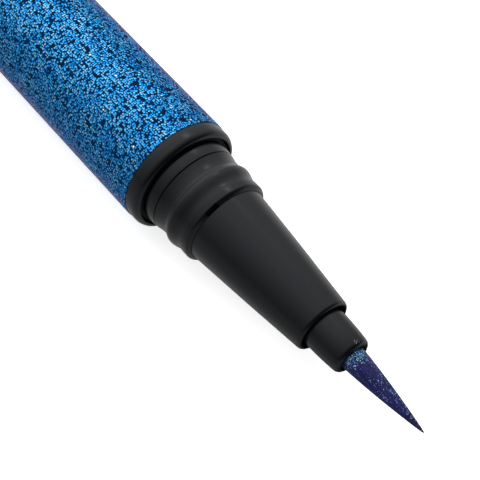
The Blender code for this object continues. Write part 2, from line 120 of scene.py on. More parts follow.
def feed(tree, sockets, values):
    """Link each value that is a socket, and set each other one."""
    for key, value in values.items():
        if isinstance(value, bpy.types.NodeSocket):
            tree.links.new(value, sockets[key])
        else:
            sockets[key].default_value = value


def add_node(tree, kind, inputs=(), **settings):
    """Add a shader node with its settings and what goes into it."""
    node = tree.nodes.new(kind)
    for key, value in settings.items():
        setattr(node, key, value)
    feed(tree, node.inputs, dict(inputs))
    return node


def maths(tree, operation, *values, **settings):
    """The result of a Math node on up to three values."""
    return add_node(tree, 'ShaderNodeMath', dict(enumerate(values)), operation=operation,
                    **settings).outputs[0]


def noise(tree, place, scale, detail=2.0, roughness=0.5, **settings):
    """Cloudy noise round 0.5."""
    return add_node(tree, 'ShaderNodeTexNoise', {
        "Vector": place, "Scale": scale, "Detail": detail, "Roughness": roughness},
        **settings).outputs[0]


def new_group(name, inputs, outputs):
    """Start a shader node group. All its sockets are numbers, but for Vector and Normal."""
    tree = bpy.data.node_groups.new(name, 'ShaderNodeTree')
    for way, keys in (('INPUT', inputs), ('OUTPUT', outputs)):
        for key in keys:
            kind = 'NodeSocketVector' if key in ("Vector", "Normal") else 'NodeSocketFloat'
            tree.interface.new_socket(key, in_out=way, socket_type=kind)
    return tree, tree.nodes.new('NodeGroupInput').outputs


def new_material(name):
    """A new material, its node tree and the sockets of its shader."""
    material = bpy.data.materials.new(name)
    material.use_nodes = True
    return material, material.node_tree, material.node_tree.nodes["Principled BSDF"].inputs


def moulded_grain():
    """Fine grain and faint flow marks of a moulding: a roughness and a height."""
    tree, given = new_group("moulded_grain", ["Vector", "Grain Size", "Roughness", "Spread"],
                            ["Roughness", "Height"])
    fine = noise(tree, given["Vector"], maths(tree, 'DIVIDE', 1.0, given["Grain Size"]))
    flow = noise(tree, given["Vector"], flow_scale, flow_detail, flow_roughness)
    unevenness = maths(tree, 'SUBTRACT', maths(tree, 'ADD', fine, flow), 1.0)
    rough = maths(tree, 'MULTIPLY_ADD', unevenness, given["Spread"], given["Roughness"])
    add_node(tree, 'NodeGroupOutput', {"Roughness": rough, "Height": fine})
    return tree


grain_group = moulded_grain()


def grained(name, color, roughness, specular=0.3, bump=0.03, size=grain_size, more=()):
    """One colour with a fine grain, and more of the shader's sockets where they are named."""
    material, tree, shader = new_material(name)
    place = add_node(tree, 'ShaderNodeTexCoord').outputs["Object"]
    grain = add_node(tree, 'ShaderNodeGroup', {
        "Vector": place, "Grain Size": size, "Roughness": roughness, "Spread": grain_spread},
        node_tree=grain_group).outputs
    bumps = add_node(tree, 'ShaderNodeBump', {
        "Height": grain["Height"], "Strength": bump, "Distance": grain_depth})
    feed(tree, shader, {
        "Base Color": color, "Roughness": grain["Roughness"], "Specular IOR Level": specular,
        "Normal": bumps.outputs[0], **dict(more)})
    return material


black_satin = grained("black_satin", black, roughness=0.24, specular=0.285,
                      more={"Specular Tint": cool_gloss})
barrel = turned("barrel_tube", [
    (collar_front, mouth_radius, mouth_round), (collar_front, collar_radius, collar_front_round),
    (collar_back, collar_radius, collar_back_round), (collar_back, tube_radius, sharp),
    (sleeve_low.x, tube_radius, sharp), (sleeve_low.x, tube_bore, sharp),
    (mouth_floor, tube_bore, sharp), (mouth_floor, mouth_radius, sharp)])
dress(barrel, black_satin, "pen", "black_plastic", "barrel")

# Glitter sleeve.
# A thin tube over the barrel, near-black navy, printed all over with round blue glitter dots
# under a clear gloss. It slides on from the tail and stops at the collar.
sleeve_radius = (sleeve_high.z - sleeve_low.z) / 2
sleeve_bore = 5.0 * mm
sleeve_edge = 0.03 * mm
# The print is laid out in millimetres, and a dot's radius is a share of the pitch.
dot_pitch = 0.188
dot_scatter = 0.72
dot_radius_share = 0.42
dot_radius_spread = 0.12
dot_core_share = 0.6
dot_lean = 0.35
dot_metal = 0.9
bare_share = 0.13
void_share = 0.3
voids_per_mm = 2.1
void_detail = 0.5
drifts_per_mm = 0.6
tone_drift = 0.7
spark_share = 0.002
cobalt_share = 0.45
gap_navy = (0.0, 0.028, 0.11, 1.0)
void_navy = (0.003, 0.019, 0.047, 1.0)
dot_azures = ((0.0, (0.0, 0.21, 0.56, 1.0)), (0.45, (0.02, 0.46, 0.95, 1.0)),
              (0.75, (0.14, 0.64, 1.0, 1.0)), (1.0, (0.38, 0.82, 1.0, 1.0)))
dot_cobalt = (0.05, 0.24, 0.86, 1.0)
spark_white = (0.95, 1.0, 0.93, 1.0)
film_blue = (0.35, 0.42, 0.72, 1.0)
film_rose = (0.85, 0.54, 0.62, 1.0)


def unrolled(obj):
    """Unroll a turned skin into a UV map in millimetres, with the seam at the bottom."""
    mesh = obj.data
    uv = mesh.uv_layers.new(name="unrolled")
    for face in mesh.polygons:
        middle = face.center
        middle_turn = math.atan2(middle.y, middle.z - axis_height)
        for loop in face.loop_indices:
            point = mesh.vertices[mesh.loops[loop].vertex_index].co
            turn = math.atan2(point.y, point.z - axis_height)
            if turn - middle_turn > math.pi:
                turn -= 2 * math.pi
            elif middle_turn - turn > math.pi:
                turn += 2 * math.pi
            uv.data[loop].uv = (turn * sleeve_radius / mm, point.x / mm)


def vector_maths(tree, operation, *values):
    """The result of a Vector Math node, a number for a distance or a dot product."""
    node = add_node(tree, 'ShaderNodeVectorMath', dict(enumerate(values)), operation=operation)
    return node.outputs["Value" if operation in ('DISTANCE', 'DOT_PRODUCT') else "Vector"]


def graded(tree, value, ramp, **settings):
    """Grade a value by a ramp of (start, end, result at the start, result at the end)."""
    start, end, first, last = ramp
    return add_node(tree, 'ShaderNodeMapRange', {
        "Value": value, "From Min": start, "From Max": end, "To Min": first, "To Max": last},
        **settings).outputs[0]


def tilted_normal(tree, draw, lean):
    """The surface's normal, leaning another way on each dot, by the dot's own drawn colour."""
    sideways = vector_maths(tree, 'SUBTRACT', draw, (0.5, 0.5, 0.5))
    sideways = add_node(tree, 'ShaderNodeVectorMath', {0: sideways, "Scale": lean},
                        operation='SCALE').outputs["Vector"]
    normal = add_node(tree, 'ShaderNodeNewGeometry').outputs["Normal"]
    return vector_maths(tree, 'NORMALIZE', vector_maths(tree, 'ADD', normal, sideways))


def glitter_dots():
    """Round dots scattered over an unrolled surface, with bare spots between them."""
    tree, given = new_group("glitter_dots", [
        "Vector", "Pitch", "Radius", "Bare", "Voids", "Sparks", "Lean"],
        ["Dots", "Covered", "Tone", "Hue", "Spark", "Normal"])
    cells = add_node(tree, 'ShaderNodeTexVoronoi', {
        "Vector": given["Vector"], "Scale": maths(tree, 'DIVIDE', 1.0, given["Pitch"]),
        "Randomness": dot_scatter}, voronoi_dimensions='2D').outputs
    draws = add_node(tree, 'ShaderNodeSeparateColor', {0: cells["Color"]}).outputs
    radius = maths(tree, 'MULTIPLY_ADD', draws["Blue"], dot_radius_spread, given["Radius"])
    core = maths(tree, 'MULTIPLY', radius, dot_core_share)
    disc = graded(tree, cells["Distance"], (radius, core, 0.0, 1.0),
                  interpolation_type='SMOOTHSTEP')
    kept = maths(tree, 'GREATER_THAN', draws["Green"], given["Bare"])
    cloud = noise(tree, cells["Position"], voids_per_mm, void_detail, noise_dimensions='2D')
    covered = maths(tree, 'GREATER_THAN', cloud, given["Voids"])
    dots = maths(tree, 'MULTIPLY', maths(tree, 'MULTIPLY', disc, kept), covered)
    drift = noise(tree, cells["Position"], drifts_per_mm, noise_dimensions='2D')
    tone = maths(tree, 'MULTIPLY_ADD', drift, tone_drift, draws["Red"])
    tone = maths(tree, 'SUBTRACT', tone, tone_drift / 2, use_clamp=True)
    spark = maths(tree, 'GREATER_THAN', draws["Blue"],
                  maths(tree, 'SUBTRACT', 1.0, given["Sparks"]))
    add_node(tree, 'NodeGroupOutput', {
        "Dots": dots, "Covered": covered, "Tone": tone, "Hue": draws["Green"], "Spark": spark,
        "Normal": tilted_normal(tree, cells["Color"], given["Lean"])})
    return tree


dots_group = glitter_dots()


def color_ramp(tree, value, stops):
    """A colour ramp through (place, colour) stops."""
    ramp = add_node(tree, 'ShaderNodeValToRGB', {0: value})
    elements = ramp.color_ramp.elements
    elements[0].position, elements[0].color = stops[0]
    elements[1].position, elements[1].color = stops[-1]
    for place, color in stops[1:-1]:
        elements.new(place).color = color
    return ramp.outputs["Color"]


def mixed(tree, share, low, high):
    """Mix two colours by a share."""
    mix = add_node(tree, 'ShaderNodeMix', {0: share, "A": low, "B": high}, data_type='RGBA')
    return mix.outputs["Result"]


def glitter_print():
    """Blue glitter dots on dark navy, under a thin clear gloss with a rosy sheen at the rims."""
    material, tree, shader = new_material("glitter_print")
    dots = add_node(tree, 'ShaderNodeGroup', {
        "Vector": add_node(tree, 'ShaderNodeUVMap', uv_map="unrolled").outputs[0],
        "Pitch": dot_pitch, "Radius": dot_radius_share, "Bare": bare_share,
        "Voids": void_share, "Sparks": spark_share, "Lean": dot_lean},
        node_tree=dots_group).outputs
    cobalt = maths(tree, 'MULTIPLY', dots["Hue"], cobalt_share)
    azure = mixed(tree, cobalt, color_ramp(tree, dots["Tone"], dot_azures), dot_cobalt)
    bright = mixed(tree, dots["Spark"], azure, spark_white)
    ground = mixed(tree, dots["Covered"], void_navy, gap_navy)
    feed(tree, shader, {
        "Base Color": mixed(tree, dots["Dots"], ground, bright),
        "Metallic": maths(tree, 'MULTIPLY', dots["Dots"], dot_metal),
        "Normal": dots["Normal"],
        "Roughness": 0.4, "Specular IOR Level": 0.0, "Specular Tint": film_blue,
        "Coat Weight": 0.02, "Coat Roughness": 0.2,
        "Sheen Weight": 0.62, "Sheen Roughness": 0.25, "Sheen Tint": film_rose})
    return material


glitter_film = glitter_print()
sleeve = turned("glitter_tube", [
    (sleeve_high.x, sleeve_bore, sharp), (sleeve_high.x, sleeve_radius, sleeve_edge),
    (sleeve_low.x, sleeve_radius, sleeve_edge), (sleeve_low.x, sleeve_bore, sharp)])
unrolled(sleeve)
dress(sleeve, glitter_film, "pen", "glitter_film", "glitter_sleeve")

# Front section.
# Neck, two snap beads and a long cone in one black moulding, pressed into the barrel. A band
# shows in the collar's mouth, and a notch in the front bead lets air out as the cap goes on.
cone_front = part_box("front_section")[1].x
cone_back = collar_front + 5.4 * mm
cone_middle = (cone_back + cone_front) / 2
cone_front_radius = 2.53 * mm
cone_middle_radius = 3.13 * mm
cone_back_radius = 3.67 * mm
lip_round = 0.29 * mm
recess_radius = 2.23 * mm
recess_round = 0.01 * mm
recess_floor = cone_front - 0.85 * mm
recess_middle = (cone_front + recess_floor) / 2
nose_bore = 1.98 * mm
foot_step = 0.06 * mm
foot_round = 0.04 * mm
bead_radius = 4.07 * mm
bead_nose = cone_back - 0.26 * mm
bead_nose_round = 0.12 * mm
bead_back = collar_front + 4.5 * mm
bead_back_round = 0.05 * mm
waist_radius = 4.045 * mm
crest = collar_front + 3.08 * mm
crest_radius = 4.28 * mm
crest_front_half = 1.1 * mm
crest_back_half = 0.76 * mm
crest_steps = 6
neck_radius = 4.06 * mm
neck_foot = collar_front + 1.8 * mm
neck_foot_round = 0.3 * mm
line = collar_front + 1.15 * mm
line_half = 0.06 * mm
line_depth = 0.16 * mm
line_round = 0.03 * mm
band_back = collar_front + 0.12 * mm
band_front_radius = 4.21 * mm
band_back_radius = 4.34 * mm
band_round = 0.05 * mm
ring_seat = 4.1 * mm
notch_size = Vector((0.3, 1.2, 2.2)) * mm
notch_round = 0.045 * mm
notch_place = cone_back + foot_step / 2 - notch_size.x / 2
notch_turn = math.radians(21)


def rear_bead():
    """Outline of the smooth rear bead, from the waist over its crest to the neck."""
    points = []
    for i in range(-crest_steps, crest_steps + 1):
        half, foot = (crest_front_half, waist_radius) if i < 0 else (crest_back_half, neck_radius)
        rise = (crest_radius - foot) * (0.5 + 0.5 * math.cos(i / crest_steps * math.pi))
        points.append((crest - i / crest_steps * half, foot + rise, sharp))
    return points


def notch_cutter():
    """The block of air that the notch takes out of the front bead."""
    bm = bmesh.new()
    bmesh.ops.create_cube(bm, size=1.0)
    bmesh.ops.scale(bm, vec=notch_size, verts=bm.verts)
    bmesh.ops.bevel(bm, geom=bm.edges[:], offset=notch_round, segments=2, profile=0.5,
                    affect='EDGES', material=-1)
    bmesh.ops.translate(bm, vec=(notch_place, 0.0, bead_radius), verts=bm.verts)
    bmesh.ops.rotate(bm, matrix=Matrix.Rotation(notch_turn, 3, 'X'), cent=(0.0, 0.0, 0.0),
                     verts=bm.verts)
    bmesh.ops.translate(bm, vec=(0.0, 0.0, axis_height), verts=bm.verts)
    return placed("notch_cutter", bm)


def cut_out(obj, cutter):
    """Cut the cutter's shape out of a piece's mesh."""
    cut = obj.modifiers.new("notch", 'BOOLEAN')
    cut.operation = 'DIFFERENCE'
    cut.object = cutter
    depsgraph = bpy.context.evaluated_depsgraph_get()
    result = bpy.data.meshes.new_from_object(obj.evaluated_get(depsgraph))
    obj.modifiers.remove(cut)
    obj.data = result
    bpy.data.objects.remove(cutter)


section = turned("front_moulding", [
    (cone_front, recess_radius, recess_round), (cone_front, cone_front_radius, lip_round),
    (cone_middle, cone_middle_radius, sharp), (cone_back + foot_step, cone_back_radius, sharp),
    (cone_back, cone_back_radius, sharp), (cone_back, cone_back_radius + foot_step, foot_round),
    (bead_nose, bead_radius, bead_nose_round), (bead_back, bead_radius, bead_back_round),
    *rear_bead(),
    (neck_foot, neck_radius, neck_foot_round), (line + line_half, band_front_radius, sharp),
    (line, band_front_radius - line_depth, sharp),
    (line - line_half, band_front_radius, line_round), (band_back, band_back_radius, band_round),
    (band_back, ring_seat, sharp), (mouth_floor, ring_seat, sharp),
    (mouth_floor, nose_bore, sharp), (recess_floor, nose_bore, sharp),
    (recess_middle, recess_radius, sharp)])
cut_out(section, notch_cutter())
dress(section, black_satin, "pen", "black_plastic", "front_section")

# Neck ring.
# A soft ring snapped in behind the band. It closes the gap between neck and collar, and stops
# just short of both, so that a dark line shows on either side of it.
ring_front = collar_front - 0.2 * mm
ring_back = ring_front - 0.45 * mm
ring_radius = 4.54 * mm
ring_bore = 4.2 * mm
ring_round = 0.05 * mm
rubber_black = (0.005, 0.005, 0.006, 1.0)
ring_rubber = grained("ring_rubber", rubber_black, roughness=0.6, specular=0.15, bump=0.05)
ring = turned("neck_closing_ring", [
    (ring_front, ring_bore, sharp), (ring_front, ring_radius, ring_round),
    (ring_back, ring_radius, sharp), (ring_back, ring_bore, sharp)])
dress(ring, ring_rubber, "pen", "black_rubber", "neck_ring")

# Ferrule.
# The black moulded holder that grips the brush, with a rounded lip, pushed in from behind the
# cone. A few specks of glitter have dried on the upper side of its lip.
ferrule_low, ferrule_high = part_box("ferrule")
ferrule_front = ferrule_high.x - 0.1 * mm
ferrule_middle = ferrule_front - 1.8 * mm
ferrule_front_radius = 1.7 * mm
ferrule_middle_radius = 1.86 * mm
ferrule_back_radius = 1.92 * mm
ferrule_lip_round = 0.44 * mm
ferrule_middle_round = 0.5 * mm
ferrule_bore = 1.16 * mm
ferrule_mouth = 1.25 * mm
ferrule_mouth_floor = ferrule_front - 0.8 * mm
speck_turn = math.radians(-16)
speck_place = Vector((ferrule_front - 0.38 * mm, -ferrule_front_radius * math.sin(speck_turn),
                      axis_height + ferrule_front_radius * math.cos(speck_turn)))
speck_reach = 0.32 * mm
speck_size = 0.09 * mm
speck_share = 0.7
speck_grey = (0.16, 0.19, 0.2, 1.0)
flake_lean = 0.8
flake_edge = (0.6, 0.4, 0.0, 1.0)


def glitter_flakes():
    """Loose flakes in a wet film: where they lie, their tone and their lean."""
    tree, given = new_group("glitter_flakes", ["Vector", "Size", "Share"],
                            ["Flakes", "Tone", "Normal"])
    cells = add_node(tree, 'ShaderNodeTexVoronoi', {
        "Vector": given["Vector"], "Scale": maths(tree, 'DIVIDE', 1.0, given["Size"])}).outputs
    draws = add_node(tree, 'ShaderNodeSeparateColor', {0: cells["Color"]}).outputs
    disc = graded(tree, cells["Distance"], flake_edge)
    kept = maths(tree, 'LESS_THAN', draws["Red"], given["Share"])
    add_node(tree, 'NodeGroupOutput', {
        "Flakes": maths(tree, 'MULTIPLY', disc, kept), "Tone": draws["Green"],
        "Normal": tilted_normal(tree, cells["Color"], flake_lean)})
    return tree


flakes_group = glitter_flakes()


def specked_satin():
    """The same satin black, with a few flakes of liner dried on beside the brush."""
    material = black_satin.copy()
    material.name = "specked_satin"
    tree = material.node_tree
    place = add_node(tree, 'ShaderNodeTexCoord').outputs["Object"]
    away = vector_maths(tree, 'DISTANCE', place, speck_place)
    flakes = add_node(tree, 'ShaderNodeGroup', {
        "Vector": place, "Size": speck_size,
        "Share": graded(tree, away, (speck_reach, 0.0, 0.0, speck_share))},
        node_tree=flakes_group).outputs
    feed(tree, tree.nodes["Principled BSDF"].inputs, {
        "Base Color": mixed(tree, flakes["Flakes"], black, speck_grey)})
    return material


ferrule = turned("brush_holder", [
    (ferrule_front, ferrule_mouth, sharp),
    (ferrule_front, ferrule_front_radius, ferrule_lip_round),
    (ferrule_middle, ferrule_middle_radius, ferrule_middle_round),
    (cone_front, ferrule_back_radius, sharp), (ferrule_low.x, ferrule_back_radius, sharp),
    (ferrule_low.x, ferrule_bore, sharp), (ferrule_mouth_floor, ferrule_bore, sharp),
    (ferrule_mouth_floor, ferrule_mouth, sharp)])
dress(ferrule, specked_satin(), "pen", "black_plastic", "ferrule")

# Brush.
# A tuft of fine nylon filaments, rooted in the ferrule and drawn to a point by the wet liner,
# which lies over them as a dark blue film full of glitter, thickest at the ferrule.
brush_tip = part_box("brush")[1].x
brush_root = ferrule_mouth_floor
brush_length = brush_tip - brush_root
brush_radius = 1.1 * mm
# Shares of the brush's length, each with the share of its radius there.
taper = ((0.0, 1.0), (0.09, 0.99), (0.2, 0.915), (0.31, 0.83), (0.42, 0.73), (0.53, 0.625),
         (0.64, 0.505), (0.75, 0.38), (0.84, 0.27), (0.91, 0.18), (0.96, 0.11), (0.99, 0.05))
strand_count = 460
strand_sides = 6
strand_fill_share = 0.86
strand_seed = 7
outer_shortfall = 0.6
shortest_reach = 0.8
golden_turn = math.pi * (3 - math.sqrt(5))
film_share = 0.965
film_steps = 96
flake_size = 0.07 * mm
flake_metal = 0.6
liner_navy = (0.004, 0.011, 0.075, 1.0)
liner_indigo = (0.014, 0.01, 0.125, 1.0)
liner_shadow = (0.001, 0.001, 0.02, 1.0)
tip_dark = (0.018, 0.012, 0.021, 1.0)
flake_blues = ((0.0, (0.12, 0.14, 0.5, 1.0)), (0.6, (0.25, 0.35, 0.85, 1.0)),
               (1.0, (0.3, 0.7, 0.95, 1.0)))
clump_blues = ((0.0, (0.0, 0.06, 0.26, 1.0)), (0.45, (0.03, 0.4, 0.85, 1.0)),
               (0.75, (0.3, 0.85, 1.0, 1.0)), (1.0, (0.8, 0.97, 1.0, 1.0)))
# Each set of four plain numbers below is a ramp for graded().
cloud_scale = 1.3 / mm
clump_length = 1.1 * mm
clump_ragged = 1.6 * mm
clump_end = ferrule_front + clump_length + clump_ragged / 2
clump_fade = (clump_end, clump_end - clump_length / 2, 0.0, 1.0)
# Glitter flakes are kept to the top and upper right, where light falls: painted light.
clump_turn = math.radians(12)
clump_painted_lit_side = (0.55, 0.9, 0.1, 1.0)
streak_turn = math.radians(-35)
streak_painted_lit_side = (0.6, 1.0, -0.18, 0.13)
streak_scale = 2.2 / mm
streak_stretch = (0.3, 1.0, 1.0)
streak_flakes = (0.42, 0.7, 0.02, 0.4)
furrow_scale = 5.0 / mm
furrow_stretch = (0.06, 1.0, 1.0)
furrow_shade = (0.5, 0.34, 0.0, 0.8)
tip_fade = (brush_tip - 2.2 * mm, brush_tip, 0.0, 0.8)


def strand_tuft():
    """Round strands set out like seeds in a sunflower. All draw in alike, so none cross."""
    bm = bmesh.new()
    strand_radius = brush_radius / math.sqrt(strand_count) * strand_fill_share
    outer = brush_radius - strand_radius
    for i in range(strand_count):
        reach = outer * math.sqrt((i + 0.5) / strand_count)
        turn = i * golden_turn
        root = Matrix.Translation((brush_root, reach * math.sin(turn),
                                   axis_height + reach * math.cos(turn)))
        bmesh.ops.create_circle(bm, radius=strand_radius, segments=strand_sides,
                                matrix=root @ Matrix.Rotation(math.pi / 2, 4, 'Y'))
    axis = Vector((0.0, 0.0, axis_height))
    rims = bm.edges[:]
    for (place, share), (next_place, next_share) in zip(taper, taper[1:]):
        grown = bmesh.ops.extrude_edge_only(bm, edges=rims)["geom"]
        verts = [item for item in grown if isinstance(item, bmesh.types.BMVert)]
        rims = [item for item in grown if isinstance(item, bmesh.types.BMEdge)
                and item.is_boundary]
        draw_in = next_share / share
        bmesh.ops.translate(bm, vec=((next_place - place) * brush_length, 0.0, 0.0), verts=verts)
        bmesh.ops.scale(bm, vec=(1.0, draw_in, draw_in), verts=verts,
                        space=Matrix.Translation(-axis))
    end_radius = brush_radius * taper[-1][1]
    draws = random.Random(strand_seed)
    for face in bmesh.ops.holes_fill(bm, edges=rims, sides=strand_sides)["faces"]:
        centre = face.calc_center_median()
        out = centre - axis
        out.x = 0.0
        shortfall = outer_shortfall * (out.length / end_radius)
        reach = (1 - shortfall) * draws.uniform(shortest_reach, 1.0)
        end = bmesh.ops.poke(bm, faces=[face])["verts"][0]
        end.co = Vector((centre.x + (brush_tip - centre.x) * reach, out.y * (1 - reach),
                         axis_height + out.z * (1 - reach)))
    bmesh.ops.recalc_face_normals(bm, faces=bm.faces)
    return placed("brush_tuft", bm)


def facing(tree, turn):
    """How squarely the surface faces outwards at a turn round the axis, counted from the top."""
    normal = add_node(tree, 'ShaderNodeNewGeometry').outputs["Normal"]
    return vector_maths(tree, 'DOT_PRODUCT', normal, (0.0, -math.sin(turn), math.cos(turn)))


def stretched_noise(tree, place, stretch, scale):
    """Noise drawn out along the strands."""
    return noise(tree, vector_maths(tree, 'MULTIPLY', place, stretch), scale)


def wet_liner():
    """Dark blue liner with loose glitter flakes, which clump into a bright collar at the root."""
    material, tree, shader = new_material("wet_liner")
    place = add_node(tree, 'ShaderNodeTexCoord').outputs["Object"]
    along = add_node(tree, 'ShaderNodeSeparateXYZ', {0: place}).outputs["X"]
    cloud = noise(tree, place, cloud_scale)
    ragged = maths(tree, 'MULTIPLY_ADD', cloud, clump_ragged, along)
    # More flakes where the surface faces up and upper right: glitter, with a painted lit side.
    clump = maths(tree, 'MULTIPLY', graded(tree, ragged, clump_fade),
                  graded(tree, facing(tree, clump_turn), clump_painted_lit_side))
    streaks = maths(tree, 'ADD', stretched_noise(tree, place, streak_stretch, streak_scale),
                    graded(tree, facing(tree, streak_turn), streak_painted_lit_side))
    flakes = add_node(tree, 'ShaderNodeGroup', {
        "Vector": place, "Size": flake_size,
        "Share": maths(tree, 'MAXIMUM', graded(tree, streaks, streak_flakes), clump)},
        node_tree=flakes_group).outputs
    shades = mixed(tree, clump, color_ramp(tree, flakes["Tone"], flake_blues),
                   color_ramp(tree, flakes["Tone"], clump_blues))
    # Darker furrows along the strands are painted shade between the filaments.
    strands = stretched_noise(tree, place, furrow_stretch, furrow_scale)
    film = mixed(tree, cloud, liner_navy, liner_indigo)
    film = mixed(tree, graded(tree, strands, furrow_shade), film, liner_shadow)
    film = mixed(tree, graded(tree, along, tip_fade), film, tip_dark)
    feed(tree, shader, {
        "Base Color": mixed(tree, flakes["Flakes"], film, shades),
        "Metallic": maths(tree, 'MULTIPLY', flakes["Flakes"], flake_metal),
        "Normal": flakes["Normal"],
        "Roughness": 0.38, "Specular IOR Level": 0.15,
        "Coat Weight": 0.15, "Coat Roughness": 0.15})
    return material


liner = wet_liner()
tuft = strand_tuft()
dress(tuft, liner, "pen", "wet_brush_fibre", "brush")
film = turned("wet_film", [
    (brush_tip, 0.0, sharp),
    *((brush_root + place * brush_length, brush_radius * share * film_share, sharp)
      for place, share in reversed(taper)),
    (brush_root, 0.0, sharp)], steps=film_steps)
dress(film, liner, "pen", "wet_brush_fibre")

# Brush retainer and feed comb.
# The tube that holds the brush's root in the cone, and the finned regulator behind it, both
# natural white mouldings. Like all inner pieces they are shut in and keep their plain shapes.
natural_white = (0.78, 0.78, 0.75, 1.0)
white_natural = grained("white_natural", natural_white, roughness=0.42, specular=0.5, bump=0.04)


def finish_node(name, material):
    """Give a CAD node that keeps its shape its material."""
    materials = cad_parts[name].data.materials
    materials.clear()
    materials.append(material)


finish_node("brush_retainer", white_natural)
finish_node("feed_comb", white_natural)

# Feed rod.
# A rod of bonded fibres, pushed through the comb's bore. It carries the liner from the tank to
# the brush's root.
fibre_grey = (0.66, 0.69, 0.76, 1.0)
fibre_size = 0.05 * mm
bonded_fibre = grained("bonded_fibre", fibre_grey, roughness=0.9, bump=0.5, size=fibre_size)
finish_node("feed_rod", bonded_fibre)

# Seal rings of the pen.
# Three moulded rubber O-rings, in grooves of the front section, the feed comb and the tail
# plug. They keep the liquid and its air in.
for name in ("front_seal_ring", "feed_seal_ring", "tail_seal_ring"):
    finish_node(name, ring_rubber)

# Ink tank.
# A clear moulded cup that holds the liquid. It lies in the barrel, with its mouth on the feed
# comb's spigot.
tank_clear = (0.8, 0.86, 0.9, 1.0)
clear_moulded = grained("clear_moulded", tank_clear, roughness=0.16, specular=0.5, bump=0.02,
                        more={"Transmission Weight": 0.9})
finish_node("ink_tank", clear_moulded)

# Agitator ball.
# A polished steel ball, dropped loose into the tank before it is filled. It stirs the glitter
# when the pen is shaken.
steel_grey = (0.62, 0.62, 0.64, 1.0)
ball_steel = grained("ball_steel", steel_grey, roughness=0.14, specular=0.5, bump=0.01,
                     more={"Metallic": 1.0})
finish_node("agitator_ball", ball_steel)

# Tail plug.
# The rounded black plug that closes the barrel behind the sleeve. It is pushed in, and held
# by its seal ring's grip.
tail_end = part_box("tail_plug")[0].x
plug_round = 0.7 * mm
plug_bevel = 0.1 * mm
plug_bevel_round = 0.05 * mm
tail_plug = turned("tail_stopper", [
    (sleeve_low.x, 0.0, sharp), (sleeve_low.x - plug_bevel, collar_radius, plug_bevel_round),
    (tail_end, collar_radius, plug_round), (tail_end, 0.0, sharp)])
dress(tail_plug, black_satin, "pen", "black_plastic", "tail_plug")

# Cap shell.
# A black moulded tube with a plain lip that comes up to the collar. A rib inside its mouth
# snaps behind the neck's beads and holds the cap on.
shell_low, shell_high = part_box("cap_shell")
cap_sleeve_low, cap_sleeve_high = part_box("cap_sleeve")
cap_mouth = shell_low.x
cap_bore = 4.38 * mm
cap_lip_end = cap_sleeve_low.x - 0.05 * mm
cap_lip_round = 0.12 * mm
cap_lip_back_round = 0.03 * mm
rib_start = cap_mouth + 1.6 * mm
rib_crest = cap_mouth + 1.9 * mm
rib_end = cap_mouth + 2.2 * mm
rib_radius = 4.3 * mm
rib_round = 0.1 * mm
cap_shell = turned("cap_tube", [
    (cap_lip_end, tube_radius, sharp), (cap_lip_end, collar_radius, cap_lip_back_round),
    (cap_mouth, collar_radius, cap_lip_round), (cap_mouth, cap_bore, cap_lip_round),
    (rib_start, cap_bore, rib_round), (rib_crest, rib_radius, rib_round),
    (rib_end, cap_bore, rib_round), (shell_high.x, cap_bore, sharp),
    (shell_high.x, tube_radius, sharp)])
dress(cap_shell, black_satin, "cap", "black_plastic", "cap_shell")

# Cap sleeve.
# The same glitter tube as on the barrel, cut shorter and slid on from the cap's closed end.
cap_sleeve = turned("cap_glitter_tube", [
    (cap_sleeve_high.x, sleeve_bore, sharp), (cap_sleeve_high.x, sleeve_radius, sleeve_edge),
    (cap_sleeve_low.x, sleeve_radius, sleeve_edge), (cap_sleeve_low.x, sleeve_bore, sharp)])
unrolled(cap_sleeve)
dress(cap_sleeve, glitter_film, "cap", "glitter_film", "cap_sleeve")

# Cap liner and its seal ring.
# A white moulded cup in the cap that seats on the cone and keeps the brush moist, with a
# rubber ring inside its skirt.
liner_low, liner_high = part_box("cap_liner")
skirt_radius = 4.3 * mm
skirt_bore = 3.9 * mm
skirt_bore_round = 0.08 * mm
skirt_round = 0.1 * mm
skirt_end = liner_low.x + 8.3 * mm
shoulder_end = liner_low.x + 9.0 * mm
cup_radius = 3.55 * mm
cup_round = 0.8 * mm
chamber_mouth = cap_mouth + 14.0 * mm
chamber_mouth_round = 0.2 * mm
chamber_radius = 3.08 * mm
chamber_end = liner_high.x - 0.8 * mm
chamber_end_round = 0.5 * mm
cap_liner = turned("cap_inner_liner", [
    (liner_low.x, skirt_bore, skirt_bore_round),
    (chamber_mouth, chamber_radius, chamber_mouth_round),
    (chamber_end, chamber_radius, chamber_end_round), (chamber_end, 0.0, sharp),
    (liner_high.x, 0.0, sharp), (liner_high.x, cup_radius, cup_round),
    (shoulder_end, cup_radius, sharp), (skirt_end, skirt_radius, sharp),
    (liner_low.x, skirt_radius, skirt_round)])
dress(cap_liner, white_natural, "cap", "white_plastic", "cap_liner")
finish_node("cap_seal_ring", ring_rubber)

# Cap end plug.
# The rounded black plug pushed into the cap's closed end, where it backs the liner. Its outside
# is like the tail plug's.
cap_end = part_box("cap_end_plug")[1].x
cap_plug = turned("cap_stopper", [
    (cap_end, 0.0, sharp), (cap_end, collar_radius, plug_round),
    (cap_sleeve_high.x + plug_bevel, collar_radius, plug_bevel_round),
    (cap_sleeve_high.x, 0.0, sharp)])
dress(cap_plug, black_satin, "cap", "black_plastic", "cap_end_plug")

# Floor.
# A plain matt white floor, which the pen and its cap lie on. It shows as the plain background
# and keeps the pen's shadow.
floor_half = 3.0
floor_white = (0.86, 0.86, 0.86, 1.0)
floor_glow = 0.7
plain_white = (1.0, 1.0, 1.0, 1.0)


def background_ray(tree):
    """1 for the rays that should see the plain white background."""
    path = add_node(tree, 'ShaderNodeLightPath').outputs
    seen = maths(tree, 'MAXIMUM', path["Is Camera Ray"], path["Is Glossy Ray"])
    return maths(tree, 'MAXIMUM', seen, path["Is Transmission Ray"])


def staged(name, bm, material):
    """Put up a surface that isn't part of the pen."""
    obj = placed(name, bm)
    obj.data.materials.append(material)
    return obj


